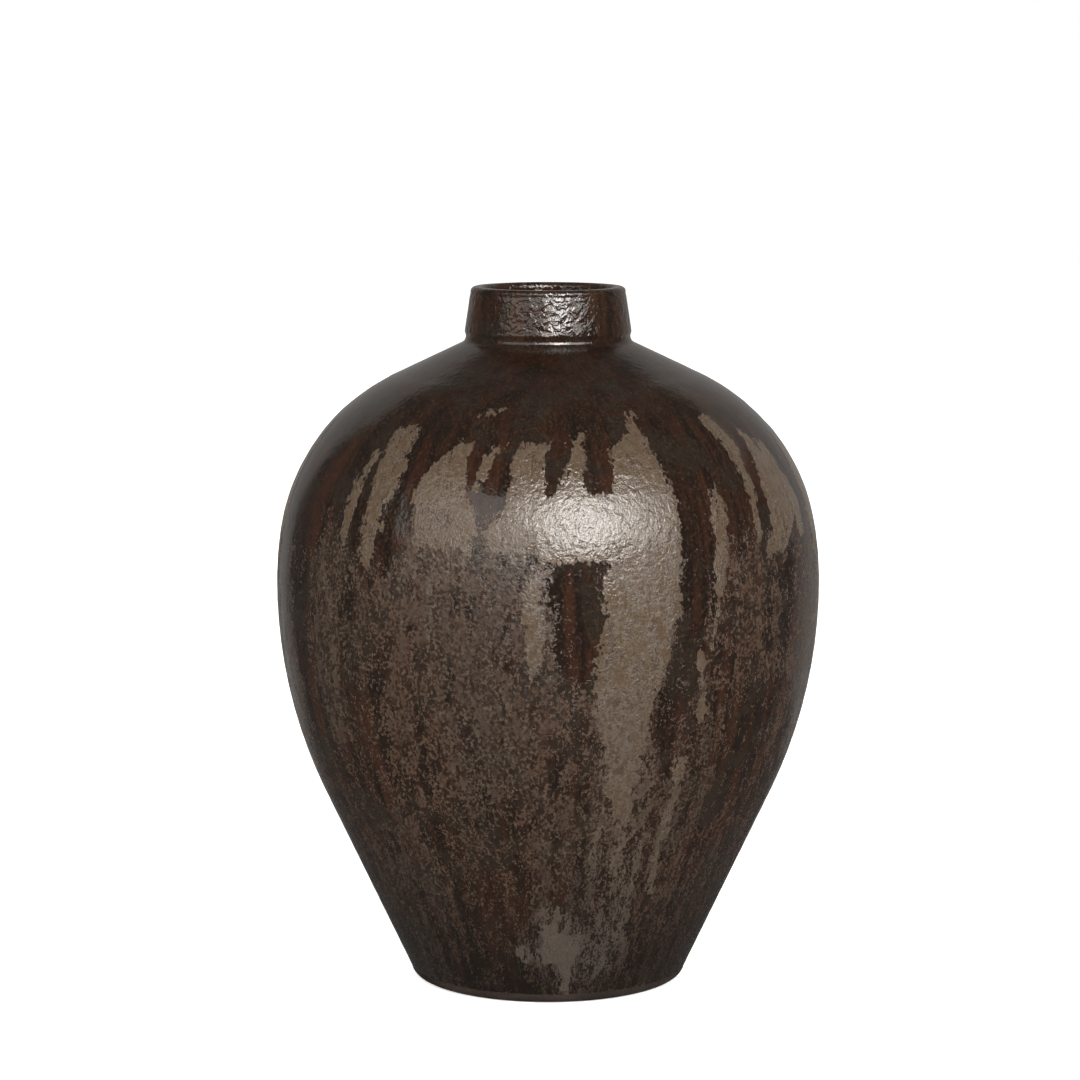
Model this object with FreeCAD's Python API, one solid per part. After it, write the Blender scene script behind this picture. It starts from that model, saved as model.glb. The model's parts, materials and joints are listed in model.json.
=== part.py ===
"""Stoneware sake bottle: a squat, wide-shouldered jar with a short tapered neck, in millimetres.

The bottle stands on z = 0 and its axis is +Z.  It is thrown in four clay sections, which are luted
together with slip, and it carries three glazes:

    base_slab      the floor, with the turned foot ring under it
    lower_wall     the flank, from the floor to the widest point
    upper_wall     the shoulder, thrown apart and luted on at the widest point
    neck_collar    the neck, luted into the shoulder's opening
    base_slip, belly_slip, neck_slip    the slip that bonds each pair of sections
    iron_glaze     dark coat on the outside, carried over the lip
    ash_runs       paler second glaze that ran down from the shoulder and sank into the dark one
    liner_glaze    coat on the inside, which makes the bottle hold liquid
"""
import cmath
import math
import os

import FreeCAD, Part

# ---------------------------------------------------------------- driving dimensions, mm and degrees
height = 320.0              # foot to lip
belly_radius = 125.0        # widest point
belly_height = 0.575 * height    # height of the widest point
flank_top = 0.275 * height       # the flank is a straight cone up to here, and curves above it
foot_radius = 64.0          # where the flank ends, over the corner's rounding
foot_corner = 6.0           # rounding of the foot's outer edge

skirt = 34.0                # straight stretch of the shoulder under the neck
haunch_turn = 9.0           # the first part of the shoulder's curve, just above the widest point
haunch_ratio = 1.76         # and how much larger its radius is than the rest of the curve

bore_radius = 29.0          # the mouth, glaze to glaze
neck_height = 23.0          # from the seam's groove to the lip
lip_width = 6.4             # the neck's thickness at the lip, glaze to glaze
neck_flare = 3.0            # how much wider the neck is at its seam than at the lip
neck_roll = 1.8             # rounding of the collar's lower edge, above the groove
neck_groove = 0.5           # how deep the groove lies behind the collar's edge
neck_cove = 3.2             # rounding of the groove into the shoulder
lip_round = 2.5             # rounding of both edges of the lip
throat_round = 5.0          # rounding where the mouth opens into the shoulder

wall = 6.5                  # glaze to glaze
floor_thickness = 7.0
floor_corner = 16.0         # rounding inside, where wall meets floor
foot_ring_width = 9.0       # flat ring that the bottle stands on
foot_recess = 4.0           # depth of the hollow inside the ring

glaze = 0.6                 # thickness of the iron glaze and of the liner
ash_depth = 0.3             # how deep the ash glaze lies in the iron glaze, flush with its surface
bare_foot = 1.5             # the iron glaze stops this far above the hollow under the foot
lip_overlap = 6.0           # the iron glaze runs this far down inside the mouth

slip = 0.8                  # thickness of each slip joint
base_seam = 13.0            # height of the joint between slab and wall
belly_bevel = 30.0          # slope of the bevelled joint at the belly
neck_bevel = 20.0           # slope of the bevelled joint under the collar

# Each run of ash glaze: azimuth and width in degrees, and its top and its foot as shares of the
# height of the neck's seam.  Azimuth 0 is the front, which looks along -Y, and it turns towards +X.
ash_run_list = [
    (-39.5, 8.5, 0.88, 0.68),
    (-24.0, 13.0, 0.87, 0.52),
    (-5.0, 9.0, 0.87, 0.60),
    (6.0, 6.0, 0.88, 0.66),
    (19.5, 16.0, 0.90, 0.20),
    (37.5, 4.0, 0.80, 0.56),
    (50.0, 6.0, 0.89, 0.70),
    (62.0, 13.0, 0.87, 0.62),
    (84.0, 14.0, 0.85, 0.37),
    (107.0, 9.0, 0.88, 0.50),
    (128.0, 16.0, 0.86, 0.30),
    (150.0, 8.0, 0.88, 0.54),
    (171.0, 17.0, 0.87, 0.25),
    (196.0, 11.0, 0.85, 0.47),
    (217.0, 14.0, 0.88, 0.40),
    (241.0, 7.0, 0.86, 0.57),
    (262.0, 15.0, 0.87, 0.34),
    (286.0, 10.0, 0.84, 0.42),
]

# ---------------------------------------------------------------- sizes that follow from these
neck_top_radius = bore_radius + lip_width
neck_base_radius = neck_top_radius + neck_flare
seam_height = height - neck_height
glaze_line = foot_recess + bare_foot

# ---------------------------------------------------------------- the wall's section
# A point of the section is the complex number radius + height * 1j.  The outline is a belt around a
# row of circles, taken with the clay on its right: a positive radius rounds a corner of the clay and
# a negative one hollows it, so that the same belt with every radius reduced lies deeper in the clay.


def direction(degrees):
    """Unit vector at an angle above the horizontal."""
    return cmath.rect(1.0, math.radians(degrees))


def along(a, b):
    """Product of two vectors' lengths and the cosine between them."""
    return (a.conjugate() * b).real


def belt_normal(first, second):
    """Outward normal of the straight stretch between two of the belt's circles."""
    apart = second[0] - first[0]
    step = first[1] - second[1]
    run = math.sqrt(max(abs(apart) ** 2 - step ** 2, 0.0))
    return 1j * complex(run, -step) * apart / abs(apart) ** 2


def flank_angle():
    """Slope of the straight flank, tangent to the foot's corner and to a belly curve that is
    upright at the widest point and ends at flank_top."""
    rise = belly_height - flank_top
    corner = complex(foot_radius - foot_corner, foot_corner)
    widest = complex(belly_radius, belly_height)

    def miss(angle):
        normal = direction(-angle)
        bulge = rise * math.tan(math.radians(angle) / 2)
        return along(normal, widest - corner) + bulge - foot_corner

    low, high = 0.1, 80.0
    for _ in range(60):
        middle = (low + high) / 2
        if miss(middle) > 0:
            low = middle
        else:
            high = middle
    return low


def groove_centre():
    """The centre of the cove that lies between the collar and the shoulder."""
    return complex(neck_base_radius - neck_groove + neck_cove, seam_height)


def shoulder_circles(angle):
    """The shoulder's two circles, the lower one haunch_ratio larger, for one slope of the skirt."""
    widest = complex(belly_radius, belly_height)
    slope = direction(angle)
    gap = along(slope, groove_centre() - widest) - neck_cove
    after_haunch = math.cos(math.radians(angle - haunch_turn))
    shoulder_arc = gap / (1.0 - after_haunch + haunch_ratio * (after_haunch - slope.real))
    haunch_arc = haunch_ratio * shoulder_arc
    haunch_centre = widest - haunch_arc
    shoulder_centre = haunch_centre + (haunch_arc - shoulder_arc) * direction(haunch_turn)
    return [(shoulder_centre, shoulder_arc), (haunch_centre, haunch_arc)]


def slope_angle():
    """Slope of the shoulder's outward normal, which leaves a straight skirt under the neck."""
    chord = groove_centre() - complex(belly_radius, belly_height)
    chord_normal = math.degrees(cmath.phase(chord / 1j))
    low, high = chord_normal + 0.1, min(2 * chord_normal, 89.0)
    for _ in range(60):
        middle = (low + high) / 2
        above = groove_centre() - shoulder_circles(middle)[0][0]
        if along(1j * direction(middle), above) > skirt:
            low = middle
        else:
            high = middle
    return low


def body_circles():
    """The outside's circles from the collar's groove down to the foot's corner."""
    widest = complex(belly_radius, belly_height)
    belly_arc = (belly_height - flank_top) / math.sin(math.radians(flank_angle()))
    return [
        (groove_centre(), -neck_cove),
        *shoulder_circles(slope_angle()),
        (widest - belly_arc, belly_arc),
        (complex(foot_radius - foot_corner, foot_corner), foot_corner),
    ]


def inside_circles():
    """The inside's circles from the floor up to the throat: the body's own, seen from within."""
    floor = foot_recess + floor_thickness
    flank = direction(-flank_angle())
    foot_centre = complex(foot_radius - foot_corner, foot_corner)
    reach = along(flank, foot_centre) + foot_corner - wall - floor_corner
    corner_height = floor + floor_corner
    corner_radius = (reach - flank.imag * corner_height) / flank.real
    curves = [(centre, -(radius - wall)) for centre, radius in body_circles()[3:0:-1]]
    return [(complex(corner_radius, corner_height), -floor_corner)] + curves + [throat_circle()]


def throat_circle():
    """The rounding at the bottom of the mouth, tangent to the shoulder's inner slope."""
    slope = direction(slope_angle())
    inner_line = along(slope, groove_centre()) - neck_cove - wall
    radius = bore_radius + throat_round
    return (complex(radius, (inner_line + throat_round - slope.real * radius) / slope.imag), throat_round)


def lip_circles():
    """The lip's two edges, from the mouth outwards."""
    crest = height - lip_round
    taper = neck_flare / neck_height
    inner = complex(bore_radius + lip_round, crest)
    outer = complex(neck_top_radius + taper * lip_round - lip_round, crest)
    return [(inner, lip_round), (outer, lip_round)]


def roll_circle():
    """The rounded lower edge of the collar, which rests on the groove's circle."""
    groove = groove_centre()
    reach = neck_roll + neck_cove
    centre_radius = neck_base_radius - neck_roll
    rise = math.sqrt(reach ** 2 - (groove.real - centre_radius) ** 2)
    return (complex(centre_radius, groove.imag + rise), neck_roll)


def foot_circles():
    """The foot ring's inner edge and the corner of the hollow that it surrounds."""
    ring_inner = foot_radius - foot_corner - foot_ring_width
    edge, corner = foot_recess / 3, foot_recess / 2
    return [
        (complex(ring_inner + edge, edge), edge),
        (complex(ring_inner - corner, foot_recess - corner), -corner),
    ]


def belt(circles, inset):
    """The edges of a belt around circles, inset into the clay.  The first and the last circle only
    give where it starts and ends."""
    rounds = [(centre, radius - inset) for centre, radius in circles]
    normals = [belt_normal(first, second) for first, second in zip(rounds, rounds[1:])]
    here = rounds[0][0] + rounds[0][1] * normals[0]
    edges = []
    for index, normal in enumerate(normals):
        centre, radius = rounds[index + 1]
        arrival = centre + radius * normal
        if abs(arrival - here) > 1e-3:
            edges.append(Part.LineSegment(point(here), point(arrival)).toShape())
            here = arrival
        if index + 1 < len(normals):
            onward = normals[index + 1]
            through = centre + radius * (normal + onward) / abs(normal + onward)
            departure = centre + radius * onward
            edges.append(Part.Arc(point(here), point(through), point(departure)).toShape())
            here = departure
    return edges


def point(place):
    """A point of the section, as a place in the XZ plane."""
    return FreeCAD.Vector(place.real, 0, place.imag)


def turned(edges):
    """The solid of revolution inside a run of section edges and the axis."""
    first, last = edges[0].Vertexes[0].Point, edges[-1].Vertexes[-1].Point
    corners = [last, FreeCAD.Vector(0, 0, last.z), FreeCAD.Vector(0, 0, first.z), first]
    closing = [
        Part.LineSegment(a, b).toShape()
        for a, b in zip(corners, corners[1:])
        if a.distanceToPoint(b) > 1e-6
    ]
    return revolved(Part.Wire(Part.__sortEdges__(edges + closing)))


def revolved(wire):
    """The solid of revolution of a closed section, facing outwards whichever way the section runs."""
    solid = Part.Face(wire).revolve(FreeCAD.Vector(0, 0, 0), FreeCAD.Vector(0, 0, 1), 360)
    if solid.Volume < 0:
        solid.reverse()
    return solid


# ---------------------------------------------------------------- whole forms
def vessel(inset):
    """The whole wall and floor, with every surface moved into the clay by inset."""
    floor = complex(0, foot_recess + floor_thickness)
    under = complex(0, foot_recess)
    circles = (
        [(floor, 0.0)]
        + inside_circles()
        + lip_circles()
        + [roll_circle()]
        + body_circles()
        + foot_circles()
        + [(under, 0.0)]
    )
    return turned(belt(circles, inset))


def hollow(inset):
    """The space inside up to the iron glaze, with its walls moved into the clay by inset."""
    floor = complex(0, foot_recess + floor_thickness)
    top = complex(bore_radius, height - lip_overlap)
    return turned(belt([(floor, 0.0)] + inside_circles() + [(top, 0.0)], inset))


def below(radius, level, bevel=0.0):
    """Everything under a joint that is level outside radius and rises inwards by bevel."""
    far = 2 * belly_radius + height
    rise = radius * math.tan(math.radians(bevel))
    corners = [
        complex(0, -far),
        complex(far, -far),
        complex(far, level),
        complex(radius, level),
        complex(0, level + rise),
    ]
    return revolved(Part.makePolygon([point(corner) for corner in corners + corners[:1]]))


# ---------------------------------------------------------------- the runs of ash glaze
def run_prism(azimuth, width, top_share, foot_share):
    """A drop-shaped prism that points outwards: pointed at its top and round at its foot."""
    top, foot = top_share * seam_height, foot_share * seam_height
    length = top - foot
    half = belly_radius * math.radians(width / 2)
    side = [
        (0.0, top),
        (0.55 * half, top - 0.16 * length),
        (0.95 * half, top - 0.40 * length),
        (0.85 * half, foot + 0.22 * length),
        (0.45 * half, foot + 0.05 * length),
        (0.0, foot),
    ]
    outline = side + [(-across, level) for across, level in side[-2:0:-1]]
    curve = Part.BSplineCurve()
    curve.interpolate(Points=[FreeCAD.Vector(across, 0, level) for across, level in outline],
                      PeriodicFlag=True)
    face = Part.Face(Part.Wire([curve.toShape()]))
    prism = face.extrude(FreeCAD.Vector(0, -2 * belly_radius, 0))
    prism.rotate(FreeCAD.Vector(0, 0, 0), FreeCAD.Vector(0, 0, 1), azimuth)
    return prism


def whole(shape):
    """The shape's solids as one clean shape."""
    clean = shape.removeSplitter()
    return clean.Solids[0] if len(clean.Solids) == 1 else Part.makeCompound(clean.Solids)


def build():
    """Every node's shape, by name."""
    body = vessel(0.0)
    lined = vessel(glaze)
    outside = hollow(2 * glaze)
    coat = body.cut(lined).cut(outside).cut(below(belly_radius, glaze_line))
    skin = coat.cut(vessel(ash_depth))

    runs = Part.makeCompound([skin.common(run_prism(*run)) for run in ash_run_list])
    liner = hollow(glaze).cut(hollow(0.0))
    clay = body.cut(coat).cut(liner)

    nodes = {"iron_glaze": coat.cut(runs), "liner_glaze": liner, "ash_runs": runs}

    seams = [
        ("base", belly_radius, base_seam, 0.0),
        ("belly", belly_radius, belly_height, belly_bevel),
        ("neck", neck_base_radius - neck_groove, seam_height, neck_bevel),
    ]
    sections = ["base_slab", "lower_wall", "upper_wall", "neck_collar"]
    rest = clay
    for section, (name, radius, level, bevel) in zip(sections, seams):
        under = below(radius, level - slip, bevel)
        joint = below(radius, level, bevel)
        nodes[section] = rest.common(under)
        nodes[name + "_slip"] = rest.common(joint).cut(under)
        rest = rest.cut(joint)
    nodes[sections[-1]] = rest
    return {name: whole(shape) for name, shape in nodes.items()}


os.makedirs("parts", exist_ok=True)
for name, shape in build().items():
    shape.exportStep(f"parts/{name}.step")
    box = shape.BoundBox
    print(f"{name:12s} {len(shape.Solids):2d} solids {shape.Volume / 1000:8.2f} cm3  "
          f"z {box.ZMin:7.2f} to {box.ZMax:7.2f}  valid {shape.isValid()}")
cavity = hollow(0.0).Volume / 1e6
print(f"holds {cavity:.2f} litres to {lip_overlap:g} mm under the lip")
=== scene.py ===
"""Looks of the stoneware sake bottle: a dark iron glaze, paler ash glaze that ran down over it, the
lined mouth and the bare clay of the foot.  Metres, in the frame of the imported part."""

import cmath
import json
import math
import random
import types

import bpy
import numpy as np
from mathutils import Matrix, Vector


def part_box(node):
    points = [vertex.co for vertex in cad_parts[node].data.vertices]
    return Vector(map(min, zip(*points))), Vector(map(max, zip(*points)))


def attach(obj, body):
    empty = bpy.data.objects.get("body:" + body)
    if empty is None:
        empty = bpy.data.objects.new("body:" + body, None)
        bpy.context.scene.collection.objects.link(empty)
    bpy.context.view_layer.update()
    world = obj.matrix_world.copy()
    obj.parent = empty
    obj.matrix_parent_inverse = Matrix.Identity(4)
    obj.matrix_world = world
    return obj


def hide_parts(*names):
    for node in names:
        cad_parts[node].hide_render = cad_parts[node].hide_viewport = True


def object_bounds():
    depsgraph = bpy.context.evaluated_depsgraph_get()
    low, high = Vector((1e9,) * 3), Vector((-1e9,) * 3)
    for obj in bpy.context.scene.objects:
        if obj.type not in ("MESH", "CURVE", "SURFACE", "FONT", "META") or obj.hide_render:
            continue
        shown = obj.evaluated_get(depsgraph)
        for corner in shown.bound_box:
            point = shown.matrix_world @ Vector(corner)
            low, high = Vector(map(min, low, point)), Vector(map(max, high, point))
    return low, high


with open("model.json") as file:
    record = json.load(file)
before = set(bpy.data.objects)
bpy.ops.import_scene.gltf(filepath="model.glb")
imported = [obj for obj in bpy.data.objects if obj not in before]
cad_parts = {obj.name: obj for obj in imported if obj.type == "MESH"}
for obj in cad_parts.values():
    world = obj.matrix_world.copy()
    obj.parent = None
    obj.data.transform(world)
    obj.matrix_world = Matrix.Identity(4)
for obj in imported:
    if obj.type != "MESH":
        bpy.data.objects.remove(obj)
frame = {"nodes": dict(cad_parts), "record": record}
cad_bounds = [list(corner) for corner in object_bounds()]

# ---------------------------------------------------------------- sizes, in millimetres and degrees
MM = 0.001
BORE = frame["record"]["mounts"][0]["dims"]["r_mm"]
HEIGHT = cad_bounds[1][2] / MM
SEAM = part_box("neck_collar")[0].z / MM
BELLY = (cad_bounds[1][0] - cad_bounds[0][0]) / 2 / MM
BELLY_HEIGHT = 0.575 * HEIGHT
FLANK_TOP = 0.275 * HEIGHT
FOOT, FOOT_CORNER, FOOT_RING, FOOT_HOLLOW = 64.0, 6.0, 9.0, 4.0
LIP_WIDTH, FLARE, LIP_ROUND, THROAT_ROUND = 6.4, 3.0, 2.5, 5.0
ROLL, GROOVE, COVE = 1.8, 0.5, 3.2
SKIRT_SLOPE, HAUNCH_TURN, HAUNCH_RATIO = 64.79, 9.0, 1.76
FLANK_SLOPE = 25.32
WALL, FLOOR, FLOOR_CORNER = 6.5, 7.0, 16.0
GLAZE = 0.6
GLAZE_LINE = 5.5
LIP_OVERLAP = 6.0

# The relief of the meshes, which lies below the CAD surface, at most DEEPEST in the outer glaze.  A sink
# is how far the middle of a relief lies below it, and a pace is in radians for each millimetre along the
# wall.  The foot's first TUCKED_RINGS rings of vertices lie TUCKED below it, behind the glaze's edge.
DEEPEST = 0.95 * GLAZE
TUCKED, TUCKED_RINGS = 0.97 * GLAZE, 4
ASH_RELIEF, ASH_EDGE = 0.26, 1.2
BODY_SINK, BODY_UNEVEN, BODY_BEADS = 0.09, 0.055, 0.018
BODY_RINGS, RING_PACE, RING_DRIFT, DRIFT_PACE = 0.030, 0.62, 0.4, 0.11
NECK_SINK, NECK_UNEVEN = 0.03, 0.05
LIP_GROOVE, LIP_GROOVE_HEIGHT, LIP_GROOVE_HALF = 0.16, HEIGHT - 3.4, 0.7
SCORE, SCORE_HEIGHT, SCORE_HALF, SCORE_AZIMUTH = 0.12, 0.88 * HEIGHT, 0.9, 12.0
LINER_SINK, LINER_UNEVEN, LINER_RINGS, LINER_PACE = 0.14, 0.04, 0.12, 0.7
CLAY_SINK, CLAY_UNEVEN, CLAY_SPIRAL, SPIRAL_PACE = 0.16, 0.05, 0.10, 2.1

# The meshes: vertices round the axis, the distance between rings of vertices along the wall, the
# heights where that changes, and the margins of the bake map.
SKIN_SEGMENTS, LINER_SEGMENTS, FOOT_SEGMENTS = 480, 240, 300
NECK_SPACING, WALL_SPACING, FOOT_SPACING = 0.45, 2.4, 0.9
NECK_FROM, FOOT_TO = SEAM - 8, 14
AXIS_HOLE, SAME_PLACE = 0.05, 1e-3
MARGIN_ACROSS, MARGIN_UP = 0.004, 0.006


# ---------------------------------------------------------------- the wall's section
def direction(degrees):
    """Unit vector at an angle above the horizontal, as radius + height * 1j."""
    return cmath.rect(1.0, math.radians(degrees))


def along(a, b):
    """Product of two vectors' lengths and the cosine between them."""
    return (a.conjugate() * b).real


def body_circles():
    """Circles that the outside of the wall runs round, from the neck's groove to the foot."""
    widest = complex(BELLY, BELLY_HEIGHT)
    groove = complex(BORE + LIP_WIDTH + FLARE - GROOVE + COVE, SEAM)
    slope = direction(SKIRT_SLOPE)
    after = math.cos(math.radians(SKIRT_SLOPE - HAUNCH_TURN))
    gap = along(slope, groove - widest) - COVE
    shoulder_arc = gap / (1.0 - after + HAUNCH_RATIO * (after - slope.real))
    haunch_arc = HAUNCH_RATIO * shoulder_arc
    haunch = widest - haunch_arc
    shoulder = haunch + (haunch_arc - shoulder_arc) * direction(HAUNCH_TURN)
    belly_arc = (BELLY_HEIGHT - FLANK_TOP) / math.sin(math.radians(FLANK_SLOPE))
    return [
        (groove, -COVE),
        (shoulder, shoulder_arc),
        (haunch, haunch_arc),
        (widest - belly_arc, belly_arc),
        (complex(FOOT - FOOT_CORNER, FOOT_CORNER), FOOT_CORNER),
    ]


def wall_circles():
    """Circles of the whole section, from the middle of the floor round the lip and to the underside."""
    body = body_circles()
    floor = FOOT_HOLLOW + FLOOR
    flank = direction(-FLANK_SLOPE)
    reach = along(flank, body[4][0]) + FOOT_CORNER - WALL - FLOOR_CORNER
    corner = complex((reach - flank.imag * (floor + FLOOR_CORNER)) / flank.real, floor + FLOOR_CORNER)
    slope = direction(SKIRT_SLOPE)
    inner = along(slope, body[0][0]) - COVE - WALL
    throat_radius = BORE + THROAT_ROUND
    throat = complex(throat_radius, (inner + THROAT_ROUND - slope.real * throat_radius) / slope.imag)
    crest = HEIGHT - LIP_ROUND
    neck_outer = BORE + LIP_WIDTH + FLARE * LIP_ROUND / (HEIGHT - SEAM)
    roll_radius = BORE + LIP_WIDTH + FLARE - ROLL
    roll_rise = math.sqrt((ROLL + COVE) ** 2 - (body[0][0].real - roll_radius) ** 2)
    ring = FOOT - FOOT_CORNER - FOOT_RING
    edge, hollow = FOOT_HOLLOW / 3, FOOT_HOLLOW / 2
    return (
        [(complex(0, floor), 0.0), (corner, -FLOOR_CORNER)]
        + [(centre, -(radius - WALL)) for centre, radius in body[3:0:-1]]
        + [(throat, THROAT_ROUND)]
        + [(complex(BORE + LIP_ROUND, crest), LIP_ROUND)]
        + [(complex(neck_outer - LIP_ROUND, crest), LIP_ROUND)]
        + [(complex(roll_radius, SEAM + roll_rise), ROLL)]
        + body
        + [(complex(ring + edge, edge), edge), (complex(ring - hollow, FOOT_HOLLOW - hollow), -hollow)]
        + [(complex(0, FOOT_HOLLOW), 0.0)]
    )


def belt_normal(first, second):
    """Outward normal of the straight stretch between two circles."""
    apart = second[0] - first[0]
    step = first[1] - second[1]
    run = math.sqrt(max(abs(apart) ** 2 - step ** 2, 0.0))
    return 1j * complex(run, -step) * apart / abs(apart) ** 2


def spacing(place):
    """Distance between neighbouring rings of vertices: close at the neck and at the foot."""
    if place.imag > NECK_FROM:
        return NECK_SPACING
    if place.imag < FOOT_TO:
        return FOOT_SPACING
    return WALL_SPACING


def section():
    """Points of the section and its outward normals, as two arrays."""
    circles = wall_circles()
    normals = [belt_normal(a, b) for a, b in zip(circles, circles[1:])]
    places, facing = [circles[0][0] + circles[0][1] * normals[0]], [normals[0]]

    def add(place, normal):
        if abs(place - places[-1]) > SAME_PLACE:
            places.append(place)
            facing.append(normal)

    for index, normal in enumerate(normals):
        centre, radius = circles[index + 1]
        start, end = places[-1], centre + radius * normal
        count = max(1, round(abs(end - start) / spacing((start + end) / 2)))
        for k in range(1, count + 1):
            add(start + (end - start) * k / count, normal)
        if index + 1 < len(normals):
            turn = cmath.phase(normals[index + 1] / normal)
            middle = centre + radius * normal * cmath.exp(0.5j * turn)
            count = max(2, round(abs(radius * turn) / spacing(middle)))
            for k in range(1, count + 1):
                onward = normal * cmath.exp(1j * turn * k / count)
                add(centre + radius * onward, onward)
    return np.array(places), np.array(facing)


PLACES, FACING = section()
LENGTH = np.concatenate([[0.0], np.cumsum(np.abs(np.diff(PLACES)))])
CREST = int(np.argmax(PLACES.imag))
INSIDE = np.arange(len(PLACES)) < CREST
MOUTH = int(np.argmax(PLACES.imag >= HEIGHT - LIP_OVERLAP))
LINE = int(np.argmax(~INSIDE & (PLACES.imag < GLAZE_LINE)))


# ---------------------------------------------------------------- where the ash glaze ran
# Each run: how sharply it ends at its foot, then (height, azimuth, half width in degrees) from top to
# foot.  Azimuth 0 is the front, which looks along -Y, and it turns towards +X.
RUNS = [
    (1.0, [(263, -39.4, 3.6), (258, -39.2, 4.2), (240, -39.3, 3.6), (222, -39.9, 2.6), (204, -40.3, 0.8)]),
    (0.5, [(251, -45.5, 0.8), (242, -46.6, 1.6), (226, -47.2, 1.6), (210, -47.5, 0.8)]),
    (1.0, [(258, -20.4, 1.6), (252, -22.4, 3.8), (243, -24.6, 5.6), (232, -25.2, 5.8), (215, -24.6, 4.0)]),
    (1.0, [(257, -12.3, 1.2), (250, -14.3, 1.3), (239, -15.6, 0.8)]),
    (1.0, [(258, -3.2, 3.0), (250, -4.2, 4.0), (240, -4.8, 4.2), (214, -5.0, 6.0)]),
    (1.0, [(261, 6.8, 1.5), (252, 6.4, 1.9), (243, 5.4, 2.6), (234, 4.6, 4.6), (216, 4.0, 6.0)]),
    (0.09, [(269, 23.6, 0.9), (262, 23.2, 2.2), (255, 20.8, 5.2), (243, 21.2, 6.8), (228, 20.6, 7.8),
            (205, 19.8, 8.4), (180, 18.6, 8.0), (160, 16.8, 7.2), (140, 15.6, 5.6), (115, 16.2, 3.6),
            (84, 17.4, 1.2)]),
    (0.35, [(233, -19.0, 2.0), (228, -19.5, 4.0), (220, -19.0, 4.0), (208, -18.0, 2.0)]),
    (0.35, [(227, -10.0, 2.0), (221, -9.0, 5.0), (209, -8.0, 3.0)]),
    (1.0, [(238, 10.0, 15.0), (232, 11.5, 16.0), (222, 13.0, 15.6), (209.5, 13.0, 15.0)]),
    (1.0, [(272, -15.0, 2.0), (268, -17.6, 2.6)]),
    (1.0, [(266, 48.6, 2.0), (257, 50.0, 2.8), (247, 50.8, 1.7), (232, 50.6, 1.0), (214, 49.4, 0.7)]),
    (1.0, [(258, 59.6, 1.4), (249, 60.0, 3.4), (234, 61.0, 5.4), (222, 60.0, 6.0), (206, 55.0, 3.0)]),
    (1.0, [(253, 64.6, 1.0), (241, 66.0, 2.2), (226, 67.4, 2.8), (211, 68.0, 1.6)]),
    (0.4, [(238, 38.6, 0.6), (226, 38.6, 1.7), (205, 37.2, 1.9), (188, 36.0, 1.2), (168, 35.0, 0.6)]),
    (0.6, [(166, 32.0, 0.7), (150, 33.6, 0.9), (136, 34.0, 0.5)]),
    (0.5, [(120, 30.2, 1.0), (100, 30.0, 1.5), (80, 28.8, 1.6), (58, 30.4, 0.9)]),
    (0.6, [(206, -2.6, 1.4), (190, -3.2, 2.3), (174, -3.2, 1.9), (158, -3.6, 0.9)]),
    (1.0, [(41, 0.5, 1.2), (37, 1.5, 3.4), (32, 3.5, 6.0), (25, 2.5, 6.4), (20, 0.0, 3.0)]),
    (1.0, [(30, -9.5, 1.6), (26, -9.0, 3.2), (21, -8.0, 1.0)]),
    (0.8, [(24, 7.0, 2.5), (14, 6.5, 2.8), (6, 6.0, 1.6)]),
]
# Streaks where the two glazes mixed: strength, then the same three numbers.  A streak with a negative
# strength is clean and dark.
MIXED = [
    (-1.3, [(268, 31.4, 3.0), (230, 31.6, 3.2), (190, 31.0, 2.8), (162, 29.0, 2.2)]),
    (-1.3, [(210, 6.6, 4.2), (188, 7.0, 4.6), (170, 6.6, 4.2), (158, 6.0, 2.0)]),
    (-1.1, [(246, -33.6, 2.6), (222, -34.0, 3.2), (202, -35.4, 1.6)]),
    (-0.8, [(246, -61.0, 4.2), (200, -61.4, 4.4), (150, -62.0, 4.0), (110, -58.0, 4.0)]),
    (-0.6, [(160, 27.0, 3.0), (130, 28.0, 3.4), (110, 28.0, 2.0)]),
    (-0.5, [(160, -43.0, 4.0), (120, -46.0, 6.0), (80, -46.0, 5.0)]),
    (-0.6, [(150, 52.0, 8.0), (110, 48.0, 6.0), (90, 42.0, 3.0)]),
    (0.7, [(236, -52.6, 2.2), (200, -52.0, 4.0), (160, -51.4, 4.4), (110, -53.0, 2.6)]),
    (0.5, [(232, 46.0, 3.4), (200, 46.0, 5.0), (176, 45.0, 3.6)]),
    (0.45, [(210, -22.0, 13.0), (180, -22.0, 14.0), (140, -24.0, 14.0), (100, -22.0, 11.0)]),
    (0.5, [(140, -35.0, 3.0), (100, -34.0, 4.0), (60, -34.0, 3.4), (40, -33.0, 2.0)]),
    (0.45, [(150, -2.0, 5.0), (110, -2.0, 7.0), (70, 0.0, 7.0), (48, 0.0, 4.0)]),
    (0.5, [(110, 28.0, 5.0), (70, 30.0, 8.0), (30, 28.0, 9.0), (12, 24.0, 8.0)]),
    (1.35, [(50, 1.0, 5.0), (32, 2.0, 11.0), (18, 3.0, 11.0), (6, 5.0, 8.0)]),
    (1.25, [(155, 15.0, 6.0), (110, 17.0, 7.0), (70, 18.0, 8.0), (30, 20.0, 8.0), (12, 20.0, 6.0)]),
    (1.1, [(234, -20.0, 10.0), (222, -17.0, 15.0), (208, -17.0, 14.0)]),
    (0.3, [(190, 48.0, 6.0), (150, 45.0, 4.0)]),
]
# The mixture that the wall has between the streaks, at a few heights.
MIXED_HEIGHTS = [0, 30, 90, 150, 205, 216, 236]
MIXED_SHARES = [0.34, 0.37, 0.41, 0.46, 0.46, 0.1, -0.6]
# How sharply the streaks end at their foot, how soft their edges are, and how far from a run's edge its
# depth still grows, the last two in millimetres.
MIXED_FADE, MIXED_EDGE, REACH = 0.3, 3.0, 12.0
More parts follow.
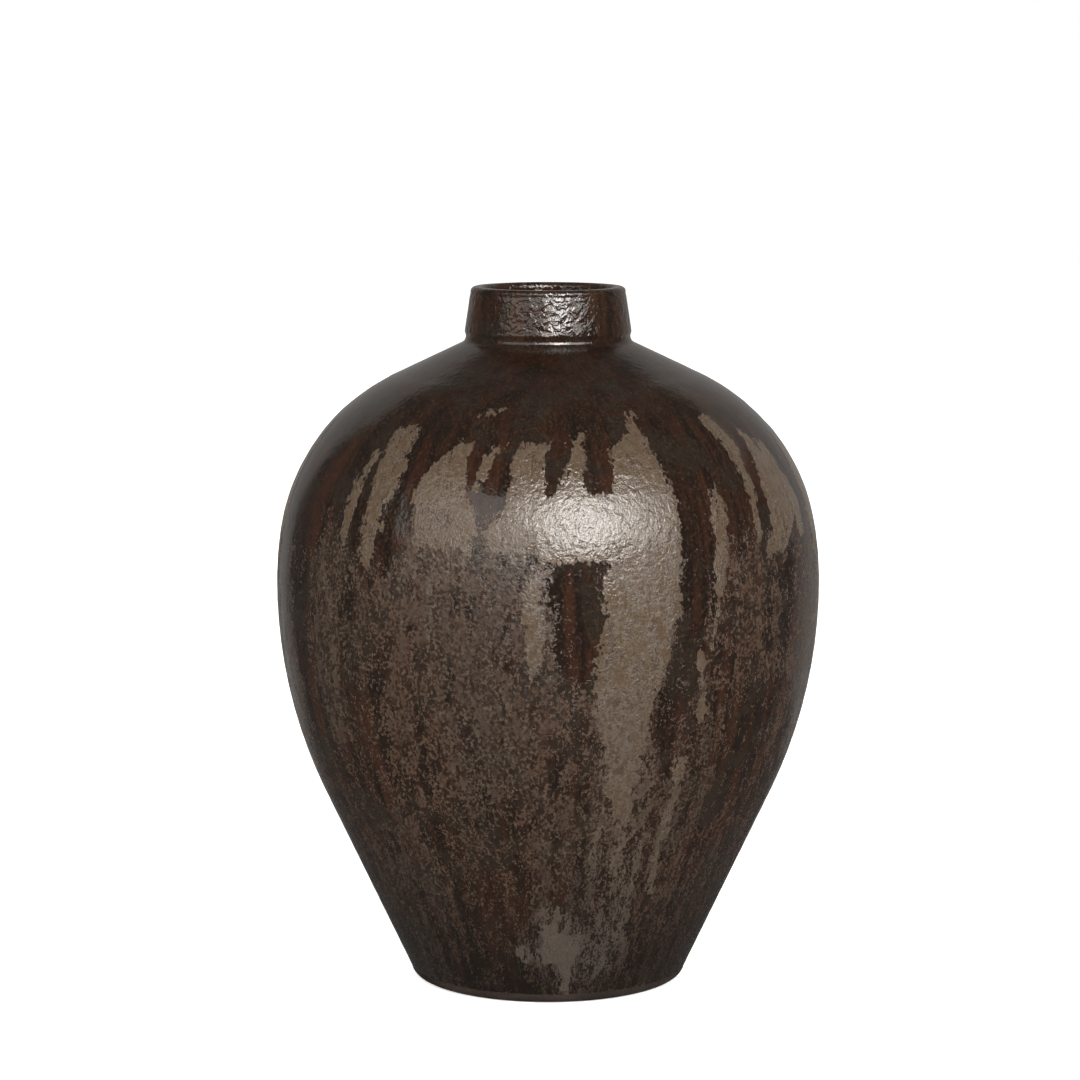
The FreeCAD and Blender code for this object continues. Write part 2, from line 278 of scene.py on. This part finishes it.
# The azimuths that the lists above leave out, and the seed of the runs there.
BACK_FROM, BACK_TO, BACK_SEED = 80.0, 286.0, 7
# The outline of a run at the back: share of its length from the top, and share of its half width.
BACK_OUTLINE = [(0.0, 0.35), (0.12, 0.8), (0.35, 1.0), (0.7, 0.85), (1.0, 0.3)]


def round_the_back():
    """Runs and mixed streaks of the same kind for the part that the front's lists leave out."""
    chance = random.Random(BACK_SEED)
    runs, mixed = [], []
    azimuth = BACK_FROM
    while azimuth < BACK_TO:
        top = chance.uniform(246, 266)
        half = chance.choice([1.6, 3.2, 4.4, 5.2])
        length = half * chance.uniform(11, 26)
        lean = chance.uniform(-2.5, 2.5)
        fade = chance.choice([1.0, 0.5, 0.2])
        knots = [(top - length * t, azimuth + lean * t, half * w) for t, w in BACK_OUTLINE]
        runs.append((fade, knots))
        mixed.append((chance.uniform(0.25, 0.6), [
            (top - 30, azimuth + 2, 4.0),
            (150, azimuth + chance.uniform(-4, 4), chance.uniform(5, 10)),
            (chance.uniform(30, 90), azimuth, 3.0),
        ]))
        mixed.append((chance.uniform(-1.2, -0.5), [
            (240, azimuth + half + 4, 1.8),
            (chance.uniform(120, 180), azimuth + half + 5, 2.4),
        ]))
        azimuth += half + chance.uniform(7, 13)
    return runs, mixed


def stroke(knots, fade, azimuth, height, per_degree):
    """How far inside a run each place lies, in millimetres; negative outside it."""
    levels, centres, halves = (np.array(column, float) for column in zip(*knots[::-1]))
    centre = np.interp(height, levels, centres)
    half = np.interp(height, levels, halves)
    off = np.abs((azimuth - centre + 180.0) % 360.0 - 180.0)
    inside = (half - off) * per_degree
    return np.minimum(inside, np.minimum(levels[-1] - height, (height - levels[0]) * fade))


def ash_fields(azimuth, height, per_degree):
    """Depth inside the solid runs in millimetres, and the share of mixed glaze, at each place."""
    more_runs, more_mixed = round_the_back()
    solid = np.full(azimuth.shape, -REACH)
    for fade, knots in RUNS + more_runs:
        solid = np.maximum(solid, stroke(knots, fade, azimuth, height, per_degree))
    mixed = np.interp(height, MIXED_HEIGHTS, MIXED_SHARES)
    for strength, knots in MIXED + more_mixed:
        depth = stroke(knots, MIXED_FADE, azimuth, height, per_degree)
        mixed = mixed + 0.25 * strength * (1 + np.tanh(depth / MIXED_EDGE))
    return np.clip(solid, -REACH, REACH), mixed


def waves(azimuth, length, seed, count, turns, ripple):
    """A gentle unevenness: the mean of count sines round the axis and along the section.

    Each has up to turns waves round the axis, and a pace along the section of up to ripple.
    """
    chance = random.Random(seed)
    total = np.zeros(azimuth.shape)
    for _ in range(count):
        lobes = chance.randint(1, turns)
        pace = chance.uniform(-ripple, ripple)
        phase = chance.uniform(0, 6.28)
        total += np.sin(np.radians(azimuth) * lobes + length * pace + phase)
    return total / count


# ---------------------------------------------------------------- meshes
def revolve(name, places, lengths, segments, strips, fields):
    """A mesh of rings round Z.

    lengths holds each ring's distance along the section, strips is how many strips the bake map is
    cut into, and fields holds an array for each vertex attribute.
    """
    rings = places.shape[0]
    angle = np.arange(segments) * 2 * math.pi / segments - math.pi
    radius, height = places.real * MM, places.imag * MM
    points = np.stack([radius * np.sin(angle), -radius * np.cos(angle), height + 0 * angle], axis=-1)
    index = np.arange(rings * segments).reshape(rings, segments)
    after = np.roll(index, -1, axis=1)
    quads = np.stack([index[:-1], after[:-1], after[1:], index[1:]], axis=-1).reshape(-1, 4)
    mesh = bpy.data.meshes.new(name)
    mesh.from_pydata(points.reshape(-1, 3).tolist(), [], quads[:, ::-1].tolist())

    column = np.tile(np.arange(segments), rings - 1)
    row = np.repeat(np.arange(rings - 1), segments)
    part, place = np.divmod(column, segments // strips)
    share = (lengths - lengths[0]) / (lengths[-1] - lengths[0])
    across = np.stack([place, place + 1, place + 1, place], -1) * strips / segments
    upwards = np.stack([share[row], share[row], share[row + 1], share[row + 1]], -1)
    across = MARGIN_ACROSS + (1 - 2 * MARGIN_ACROSS) * across
    upwards = (part[:, None] + MARGIN_UP + (1 - 2 * MARGIN_UP) * upwards) / strips
    layer = mesh.uv_layers.new(name="OFBake")
    uv = np.stack([across[:, ::-1], upwards[:, ::-1]], -1).reshape(-1)
    layer.data.foreach_set("uv", uv.astype(np.float32))

    for field, values in fields.items():
        kind, slot = ("FLOAT_VECTOR", "vector") if values.ndim == 3 else ("FLOAT", "value")
        attribute = mesh.attributes.new(field, kind, "POINT")
        attribute.data.foreach_set(slot, values.reshape(-1))
    mesh.polygons.foreach_set("use_smooth", np.ones(len(mesh.polygons), bool))
    mesh.update()
    piece = bpy.data.objects.new(name, mesh)
    bpy.context.scene.collection.objects.link(piece)
    return piece


def grid(first, last, segments):
    """Azimuth in degrees, ring positions, normals and lengths of a stretch of the section."""
    azimuth = (np.arange(segments) * 360.0 / segments - 180.0)[None, :]
    places, facing, length = (a[first:last, None] for a in (PLACES, FACING, LENGTH))
    return azimuth + 0 * length, places + 0 * azimuth, facing + 0 * azimuth, length + 0 * azimuth


def flow(azimuth, length):
    """Coordinates that follow the wall: a cylinder whose height is the distance along the section."""
    turn = np.radians(azimuth)
    across = BELLY * MM
    return np.stack([across * np.sin(turn), -across * np.cos(turn), length * MM], -1)


def ramp(distance, width):
    """0 below zero distance, 1 beyond the width, and straight between them."""
    return np.clip(distance / width, 0, 1)


def groove(height, middle, half):
    """A soft groove round the bottle: 1 at its middle, and near 0 at twice its half width."""
    return np.exp(-((height - middle) / half) ** 2)


def off_axis(places):
    """The same places, with a tiny hole left at the axis so that no face has an empty side."""
    places.real = np.maximum(places.real, AXIS_HOLE)
    return places


def glaze_skin():
    """The outer glaze from the bare foot over the lip, thicker where the ash glaze ran."""
    azimuth, places, facing, length = grid(MOUTH, LINE + 1, SKIN_SEGMENTS)
    height = places.imag
    solid, mixed = ash_fields(azimuth, height, places.real * math.radians(1.0))
    outside = np.arange(MOUTH, LINE + 1)[:, None] >= CREST
    solid = np.where(outside, solid, -REACH)
    mixed = np.where(outside, mixed, 0.0)

    body = ramp(SEAM - 4 - height, 12)
    neck = ramp(height - SEAM, 2) * outside
    thick = ASH_RELIEF / 2 * (1 + np.tanh(solid / ASH_EDGE))
    drift = RING_DRIFT * np.sin(length * DRIFT_PACE)
    rings = BODY_RINGS * np.sin(length * RING_PACE + drift) * ramp(HEIGHT - height, 40)
    uneven = BODY_UNEVEN * waves(azimuth, length, seed=3, count=12, turns=9, ripple=0.12)
    beads = BODY_BEADS * waves(azimuth, length, seed=5, count=14, turns=60, ripple=0.9)
    collar = NECK_UNEVEN * waves(azimuth, length, seed=9, count=9, turns=14, ripple=0.5)
    sink = thick - ASH_RELIEF + (rings + uneven - BODY_SINK + beads) * body
    sink = sink + neck * (collar - NECK_SINK)
    sink = sink - LIP_GROOVE * groove(height, LIP_GROOVE_HEIGHT, LIP_GROOVE_HALF) * outside
    scored = 0.5 + 0.5 * np.cos(np.radians(azimuth - SCORE_AZIMUTH) * 2)
    sink = sink - SCORE * groove(height, SCORE_HEIGHT, SCORE_HALF) * scored * outside
    sink[0] = -DEEPEST
    sink[-1] = -DEEPEST
    sink = np.clip(sink, -DEEPEST, 0.0)
    fields = {"solid": solid, "mixed": mixed, "flow": flow(azimuth, length)}
    return revolve("glaze_skin", places + facing * sink, length[:, 0], SKIN_SEGMENTS, 2, fields)


def liner():
    """The inner glaze from the middle of the floor to the lip's overlap, with throwing rings."""
    azimuth, places, facing, length = grid(0, MOUTH + 1, LINER_SEGMENTS)
    rings = LINER_RINGS * np.sin(length * LINER_PACE + np.radians(azimuth)) * ramp(places.real - 12, 20)
    rings = rings * ramp(SEAM - 6 - places.imag, 20)
    uneven = LINER_UNEVEN * waves(azimuth, length, seed=21, count=9, turns=9, ripple=0.2)
    sink = rings - LINER_SINK + uneven
    places = off_axis(places + facing * sink)
    return revolve("liner", places, length[:, 0], LINER_SEGMENTS, 1, {"flow": flow(azimuth, length)})


def foot():
    """The bare clay below the glaze, with the turned ring and the spiral of the tool inside it."""
    azimuth, places, facing, length = grid(LINE - TUCKED_RINGS, len(PLACES), FOOT_SEGMENTS)
    ring_outside, ring_inside = FOOT - FOOT_CORNER, FOOT - FOOT_CORNER - FOOT_RING
    spiral = CLAY_SPIRAL * np.sin(length * SPIRAL_PACE + np.radians(azimuth)) * (places.real < ring_inside)
    grain = CLAY_UNEVEN * waves(azimuth, length, seed=31, count=16, turns=40, ripple=1.1)
    flat = (places.real < ring_outside) & (places.real > ring_inside)
    sink = np.where(flat, 0.0, spiral + grain - CLAY_SINK)
    tucked = np.arange(places.shape[0])[:, None] < TUCKED_RINGS
    sink = np.where(tucked, -TUCKED, sink)
    places = off_axis(places + facing * sink)
    return revolve("foot", places, length[:, 0], FOOT_SEGMENTS, 1, {"flow": flow(azimuth, length)})


# ---------------------------------------------------------------- materials
# A material has this share of the linear colour that it shows, because the studio's light lifts it.
LIT = 0.37


class Shader:
    """A material's node tree, with short names for the nodes that these glazes use."""

    def __init__(self, name):
        self.material = bpy.data.materials.new(name)
        self.material.use_nodes = True
        self.tree = self.material.node_tree
        self.surface = self.tree.nodes["Principled BSDF"]

    def node(self, kind, inputs, **settings):
        made = self.tree.nodes.new(kind)
        for key, value in settings.items():
            setattr(made, key, value)
        for key, value in inputs.items():
            self.feed(made.inputs[key], value)
        return made

    def feed(self, socket, value):
        if isinstance(value, bpy.types.NodeSocket):
            self.tree.links.new(value, socket)
        else:
            socket.default_value = value

    def attribute(self, name, output="Fac"):
        return self.node("ShaderNodeAttribute", {}, attribute_name=name).outputs[output]

    def place(self):
        return self.node("ShaderNodeTexCoord", {}).outputs["Object"]

    def stretched(self, vector, scale):
        return self.node("ShaderNodeMapping", {"Vector": vector, "Scale": scale}).outputs["Vector"]

    def noise(self, vector, scale, detail=4.0, roughness=0.6, distortion=0.0):
        """Noise with scale cells to the metre."""
        inputs = {"Vector": vector, "Scale": scale, "Detail": detail, "Roughness": roughness,
                  "Distortion": distortion}
        return self.node("ShaderNodeTexNoise", inputs).outputs["Fac"]

    def flowing(self, squeeze, scale, detail, roughness):
        """Noise that follows the wall, drawn out down it: the smaller the squeeze, the longer."""
        vector = self.stretched(self.attribute("flow", "Vector"), (1.0, 1.0, squeeze))
        return self.noise(vector, scale, detail, roughness)

    def cells(self, vector, scale):
        return self.node("ShaderNodeTexVoronoi", {"Vector": vector, "Scale": scale}).outputs["Distance"]

    def sum(self, first, *terms):
        """first plus factor * (value - centre) for each (value, factor, centre)."""
        total = first
        for value, factor, centre in terms:
            part = self.math("MULTIPLY_ADD", value, factor, -factor * centre)
            total = self.math("ADD", total, part)
        return total

    def math(self, operation, *values):
        return self.node("ShaderNodeMath", dict(enumerate(values)), operation=operation).outputs[0]

    def step(self, value, low, high, start=0.0, end=1.0):
        """A smooth step from start at low to end at high; low may be the greater."""
        inputs = {0: value, 1: low, 2: high, 3: start, 4: end}
        return self.node("ShaderNodeMapRange", inputs, interpolation_type="SMOOTHSTEP").outputs[0]

    def mix(self, share, first, second):
        """The first colour where the share is 0 and the second where it is 1."""
        made = self.node("ShaderNodeMix", {}, data_type="RGBA")
        self.feed(made.inputs["Factor"], share)
        self.feed(made.inputs[6], first)
        self.feed(made.inputs[7], second)
        return made.outputs[2]

    def bump(self, height, distance, strength=1.0, normal=None):
        inputs = {"Height": height, "Distance": distance, "Strength": strength}
        made = self.node("ShaderNodeBump", inputs)
        if normal is not None:
            self.feed(made.inputs["Normal"], normal)
        return made.outputs["Normal"]


def shade(red, green, blue):
    """The linear colour of a material that looks like this, from 0 to 255, under the studio's light."""
    return (*(LIT * ((v / 255 + 0.055) / 1.055) ** 2.4 for v in (red, green, blue)), 1.0)


# Colours of the outer coat: the iron glaze, the mixture, the ash glaze, and the painted shade that darkens
# the coat towards the foot.
IRON_BLACK, IRON_BROWN, IRON_OLIVE = shade(31, 22, 17), shade(58, 35, 24), shade(44, 36, 29)
IRON_CLUMP, IRON_CRUMB, IRON_DRIP = shade(24, 17, 14), shade(72, 57, 45), shade(62, 43, 30)
MIXED_BROWN, MIXED_TAN, MIXED_GREY = shade(46, 30, 21), shade(78, 54, 39), shade(62, 50, 41)
MIXED_PALE, MIXED_DARK = shade(104, 86, 70), shade(32, 22, 17)
ASH_TAN, ASH_BEIGE, ASH_FOOT = shade(96, 80, 64), shade(113, 99, 85), shade(86, 77, 69)
ASH_CLUMP, ASH_CRUMB = shade(72, 55, 42), shade(80, 64, 51)
FOOT_PAINTED_SHADE = shade(24, 21, 19)

# Heights, in metres, between which a zone of the outer coat fades in or out.
NECK_ZONE = ((SEAM - 1) * MM, (SEAM + 1) * MM)
SHOULDER_ZONE = ((SEAM - 42) * MM, (SEAM - 22) * MM)
FOOT_ZONE = (0.0, 0.09)

# How deep the bumps of the outer coat are, in metres.
PEEL_BUMP, GRAIN_BUMP, ASH_BUMP, PIMPLE_BUMP = 0.00072, 0.00036, 0.00014, 0.00012


def glaze_noises(s):
    """The noises that the colours and the relief of the outer coat share, and its zones by height."""
    place = s.place()
    height = s.node("ShaderNodeSeparateXYZ", {0: place}).outputs["Z"]
    ragged = s.flowing(0.75, 300.0, 5.0, 0.62)
    fine = s.flowing(0.9, 1350.0, 2.0, 0.6)
    blotch = s.flowing(0.6, 170.0, 4.0, 0.65)
    return types.SimpleNamespace(
        place=place,
        ragged=ragged,
        lobed=s.flowing(0.5, 130.0, 2.0, 0.5),
        crumbs=s.flowing(0.85, 700.0, 3.0, 0.65),
        fine=fine,
        streaks=s.flowing(0.1, 130.0, 4.0, 0.6),
        broad=s.flowing(0.32, 30.0, 3.0, 0.55),
        blotch=blotch,
        clouds=s.noise(place, 45.0, 4.0, 0.6),
        clumps=s.sum(0.0, (blotch, 1.0, 0.5), (fine, 0.9, 0.5), (ragged, 0.5, 0.5)),
        neck=s.step(height, *NECK_ZONE),
        shoulder=s.step(height, *SHOULDER_ZONE),
        foot=s.step(height, *FOOT_ZONE, 1.0, 0.0),
    )


def glaze_shares(s, n):
    """The shares of mixed glaze and of ash glaze at each place, both from 0 to 1."""
    depth = s.sum(s.attribute("solid"), (n.ragged, 13.0, 0.5), (n.lobed, 8.0, 0.5), (n.crumbs, 4.0, 0.5))
    speckle = s.sum(
        s.attribute("mixed"),
        (n.crumbs, 1.6, 0.5), (n.fine, 2.0, 0.5), (n.streaks, 1.1, 0.5), (n.broad, 0.9, 0.5),
        (n.blotch, 2.1, 0.5),
    )
    ash = s.step(s.math("MAXIMUM", depth, s.sum(-5.2, (speckle, 5.0, 0.0))), -0.1, 0.2)
    return s.step(speckle, 0.36, 0.64), ash


def iron_colour(s, n):
    """Dark glaze: brown streaks on the flank, brown clouds on the shoulder and drips on the neck."""
    brown = s.mix(n.shoulder, s.step(n.streaks, 0.42, 0.62), s.step(n.clouds, 0.35, 0.65))
    colour = s.mix(brown, IRON_BLACK, IRON_BROWN)
    colour = s.mix(s.step(n.clouds, 0.50, 0.58), colour, IRON_OLIVE)
    colour = s.mix(s.step(n.clumps, 0.02, 0.16, 0.0, 0.6), colour, IRON_CLUMP)
    colour = s.mix(s.step(n.crumbs, 0.53, 0.62, 0.0, 0.5), colour, IRON_CRUMB)
    drips = s.step(s.noise(s.stretched(n.place, (1.0, 1.0, 0.1)), 150.0, 4.0, 0.6), 0.42, 0.62)
    return s.mix(s.math("MULTIPLY", n.neck, drips), colour, IRON_DRIP)


def mixed_colour(s, n):
    """Mottled glaze, where the ash broke up in the iron glaze."""
    colour = s.mix(s.step(n.blotch, 0.44, 0.56), MIXED_BROWN, MIXED_TAN)
    colour = s.mix(s.step(n.broad, 0.48, 0.60, 0.0, 0.7), colour, MIXED_GREY)
    colour = s.mix(s.step(n.crumbs, 0.52, 0.60, 0.0, 0.75), colour, MIXED_PALE)
    return s.mix(s.step(n.crumbs, 0.46, 0.38, 0.0, 0.6), colour, MIXED_DARK)


def ash_colour(s, n):
    """Beige glaze with small brown clumps and crumbs, greyer near the foot."""
    colour = s.mix(s.step(n.blotch, 0.38, 0.60), ASH_TAN, ASH_BEIGE)
    colour = s.mix(s.step(n.clumps, 0.04, 0.12, 0.0, 0.85), colour, ASH_CLUMP)
    colour = s.mix(s.step(n.crumbs, 0.47, 0.40, 0.0, 0.5), colour, ASH_CRUMB)
    return s.mix(n.foot, colour, ASH_FOOT)


def fired_glaze():
    """Dark iron glaze, with beige ash glaze where it ran and both mixed where it thinned out, and painted
    shade towards the foot.
    """
    s = Shader("fired_glaze")
    n = glaze_noises(s)
    mixed, ash = glaze_shares(s, n)
    colour = s.mix(mixed, iron_colour(s, n), mixed_colour(s, n))
    # Painted shade: the iron glaze and the mixture darken towards the foot, standing in for the dimmer
    # light low on the wall.
    colour = s.mix(s.math("MULTIPLY", n.foot, 0.55), colour, FOOT_PAINTED_SHADE)
    colour = s.mix(ash, colour, ash_colour(s, n))

    rough = s.sum(
        0.09,
        (mixed, 0.18, 0.0), (ash, 0.02, 0.0), (n.crumbs, 0.25, 0.5), (n.blotch, 0.3, 0.5),
    )
    peel = s.noise(n.place, 320.0, 2.0, 0.5, 0.6)
    peeling = s.sum(0.17, (mixed, 0.3, 0.0), (ash, 0.42, 0.0), (n.neck, 0.8, 0.0))
    grain = s.sum(n.crumbs, (n.fine, 0.5, 0.5))
    grainy = s.sum(0.10, (mixed, 0.7, 0.0), (ash, 0.5, 0.0))
    pimples = s.step(s.cells(n.place, 250.0), 0.16, 0.0)
    normal = s.bump(peel, PEEL_BUMP, peeling)
    normal = s.bump(grain, GRAIN_BUMP, grainy, normal)
    normal = s.bump(s.sum(ash, (mixed, 0.4, 0.0)), ASH_BUMP, 1.0, normal)
    normal = s.bump(pimples, PIMPLE_BUMP, 0.8, normal)
    s.feed(s.surface.inputs["Base Color"], colour)
    s.feed(s.surface.inputs["Roughness"], s.math("MAXIMUM", rough, 0.08))
    s.feed(s.surface.inputs["Normal"], normal)
    s.surface.inputs["IOR"].default_value = 1.55
    return s.material


def liner_glaze():
    """The glossy dark glaze inside the bottle."""
    s = Shader("liner_glaze")
    streaks = s.flowing(0.15, 90.0, 4.0, 0.6)
    peel = s.noise(s.place(), 500.0, 3.0, 0.5)
    colour = s.mix(s.step(streaks, 0.35, 0.65), shade(30, 20, 15), shade(52, 37, 28))
    s.feed(s.surface.inputs["Base Color"], colour)
    s.feed(s.surface.inputs["Roughness"], s.sum(0.22, (streaks, 0.3, 0.5)))
    s.feed(s.surface.inputs["Normal"], s.bump(peel, 0.0002, 0.8))
    return s.material


def bare_clay(name, first, second):
    """Unglazed stoneware: dark, sandy and dull."""
    s = Shader(name)
    place = s.place()
    sand = s.noise(place, 900.0, 6.0, 0.7)
    patches = s.noise(place, 60.0, 4.0, 0.6)
    grains = s.cells(place, 700.0)
    colour = s.mix(s.step(patches, 0.35, 0.65), first, second)
    colour = s.mix(s.step(grains, 0.16, 0.05, 0.0, 0.5), colour, shade(24, 18, 15))
    s.feed(s.surface.inputs["Base Color"], colour)
    s.feed(s.surface.inputs["Roughness"], s.sum(0.8, (sand, 0.4, 0.5)))
    s.feed(s.surface.inputs["Normal"], s.bump(s.sum(sand, (grains, 0.6, 0.0)), 0.0004, 0.9))
    s.surface.inputs["Specular IOR Level"].default_value = 0.3
    return s.material


def coat_glaze(name, colour, rough):
    """Plainer glaze for the coats that the detailed skin stands for."""
    s = Shader(name)
    place = s.place()
    cloud = s.noise(s.stretched(place, (1.0, 1.0, 0.2)), 120.0, 5.0, 0.65)
    s.feed(s.surface.inputs["Base Color"], s.mix(s.step(cloud, 0.3, 0.7), colour, shade(40, 28, 22)))
    s.feed(s.surface.inputs["Roughness"], s.sum(rough, (cloud, 0.3, 0.5)))
    s.feed(s.surface.inputs["Normal"], s.bump(s.noise(place, 500.0), 0.0002, 0.8))
    return s.material


clay = bare_clay("bare_clay", shade(50, 38, 31), shade(66, 50, 40))
slip = bare_clay("slip", shade(58, 44, 35), shade(74, 57, 46))
looks = {
    "base_slab": clay,
    "lower_wall": clay,
    "upper_wall": clay,
    "neck_collar": clay,
    "base_slip": slip,
    "belly_slip": slip,
    "neck_slip": slip,
    "iron_glaze": coat_glaze("iron_coat", shade(52, 34, 26), 0.2),
    "ash_runs": coat_glaze("ash_coat", shade(110, 94, 79), 0.35),
    "liner_glaze": coat_glaze("liner_coat", shade(46, 32, 25), 0.25),
}
for name, node in frame["nodes"].items():
    node.data.materials.clear()
    node.data.materials.append(looks[name])

skin = glaze_skin()
skin.data.materials.append(fired_glaze())
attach(skin, "root")
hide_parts("iron_glaze", "ash_runs")

inner = liner()
inner.data.materials.append(liner_glaze())
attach(inner, "root")
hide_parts("liner_glaze")

base = foot()
base.data.materials.append(clay)
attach(base, "root")
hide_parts("base_slab")


# ---------------------------------------------------------------- floor, light and camera
# In metres, degrees and watts: azimuth, elevation, distance, width, height and power of each softbox,
# and whether it is mirrored in the gloss.  They aim at a point on the axis at the height AIM.
AIM = 0.2
SOFTBOXES = [
    (22, 29, 2.2, 2.66, 1.2, 54, True),
    (16, 29, 2.1, 0.55, 1.0, 30, True),
    (22, 29, 2.2, 2.66, 1.2, 18, False),
    (-37, 29, 2.2, 2.4, 1.23, 14, True),
    (-160, 10, 2.2, 1.7, 2.4, 2.7, True),
    (152, 10, 2.2, 2.2, 2.4, 3.6, True),
    (-45, 4, 3.0, 3.0, 2.4, 100, False),
    (105, 8, 3.0, 3.0, 2.4, 80, False),
    (-155, 8, 3.0, 3.0, 2.4, 60, False),
]
CAMERA_PLACE = (-0.0037, -1.664, 0.4205)
CAMERA_DIP = 7.449
CAMERA_LENS = 121.5


def studio_floor():
    """A wide, plain, pale floor with a fine grain."""
    bpy.ops.mesh.primitive_plane_add(size=12.0, location=(0, 0, 0))
    floor = bpy.context.object
    s = Shader("studio_floor")
    grain = s.noise(s.place(), 40.0, 4.0, 0.6)
    s.feed(s.surface.inputs["Base Color"], s.mix(grain, (0.86, 0.86, 0.86, 1), (0.9, 0.9, 0.9, 1)))
    s.surface.inputs["Roughness"].default_value = 0.9
    s.surface.inputs["Specular IOR Level"].default_value = 0.1
    s.surface.inputs["Emission Color"].default_value = (1, 1, 1, 1)
    s.surface.inputs["Emission Strength"].default_value = 0.5
    floor.data.materials.append(s.material)
    floor.visible_glossy = False
    return floor


def softbox(azimuth, elevation, distance, width, height, power, mirrored):
    """A rectangular light that faces the bottle, mirrored in its gloss or not.  Azimuth 0 is the front."""
    turn, rise = math.radians(azimuth), math.radians(elevation)
    light = bpy.data.lights.new("softbox", "AREA")
    light.shape = "RECTANGLE"
    light.size, light.size_y = width, height
    light.energy = power
    light.color = (1.0, 0.975, 0.94)
    box = bpy.data.objects.new("softbox", light)
    bpy.context.scene.collection.objects.link(box)
    box.location = (
        distance * math.sin(turn) * math.cos(rise),
        -distance * math.cos(turn) * math.cos(rise),
        AIM + distance * math.sin(rise),
    )
    box.rotation_euler = (math.pi / 2 - rise, 0, turn)
    box.visible_camera = False
    box.visible_glossy = mirrored


def studio_world():
    """A dim room that looks white where the camera sees past the floor."""
    world = bpy.data.worlds.new("studio")
    world.use_nodes = True
    nodes, links = world.node_tree.nodes, world.node_tree.links
    dim = nodes["Background"]
    dim.inputs["Color"].default_value = (1.0, 0.97, 0.93, 1)
    dim.inputs["Strength"].default_value = 0.08
    white = nodes.new("ShaderNodeBackground")
    white.inputs["Color"].default_value = (1, 1, 1, 1)
    white.inputs["Strength"].default_value = 1.0
    seen = nodes.new("ShaderNodeLightPath")
    either = nodes.new("ShaderNodeMixShader")
    links.new(seen.outputs["Is Camera Ray"], either.inputs[0])
    links.new(dim.outputs[0], either.inputs[1])
    links.new(white.outputs[0], either.inputs[2])
    links.new(either.outputs[0], nodes["World Output"].inputs["Surface"])
    bpy.context.scene.world = world


def overhead():
    """Broad light from above, which keeps the floor pale right to the horizon."""
    light = bpy.data.lights.new("overhead", "SUN")
    light.energy = 1.7
    light.angle = math.radians(120)
    lamp = bpy.data.objects.new("overhead", light)
    bpy.context.scene.collection.objects.link(lamp)
    lamp.visible_glossy = False


studio_floor()
studio_world()
overhead()
for numbers in SOFTBOXES:
    softbox(*numbers)
bpy.context.scene.view_settings.view_transform = "Standard"

camera = bpy.data.objects.new("camera", bpy.data.cameras.new("camera"))
bpy.context.scene.collection.objects.link(camera)
camera.location = CAMERA_PLACE
camera.rotation_euler = (math.radians(90 - CAMERA_DIP), 0, 0)
camera.data.lens = CAMERA_LENS
bpy.context.scene.camera = camera
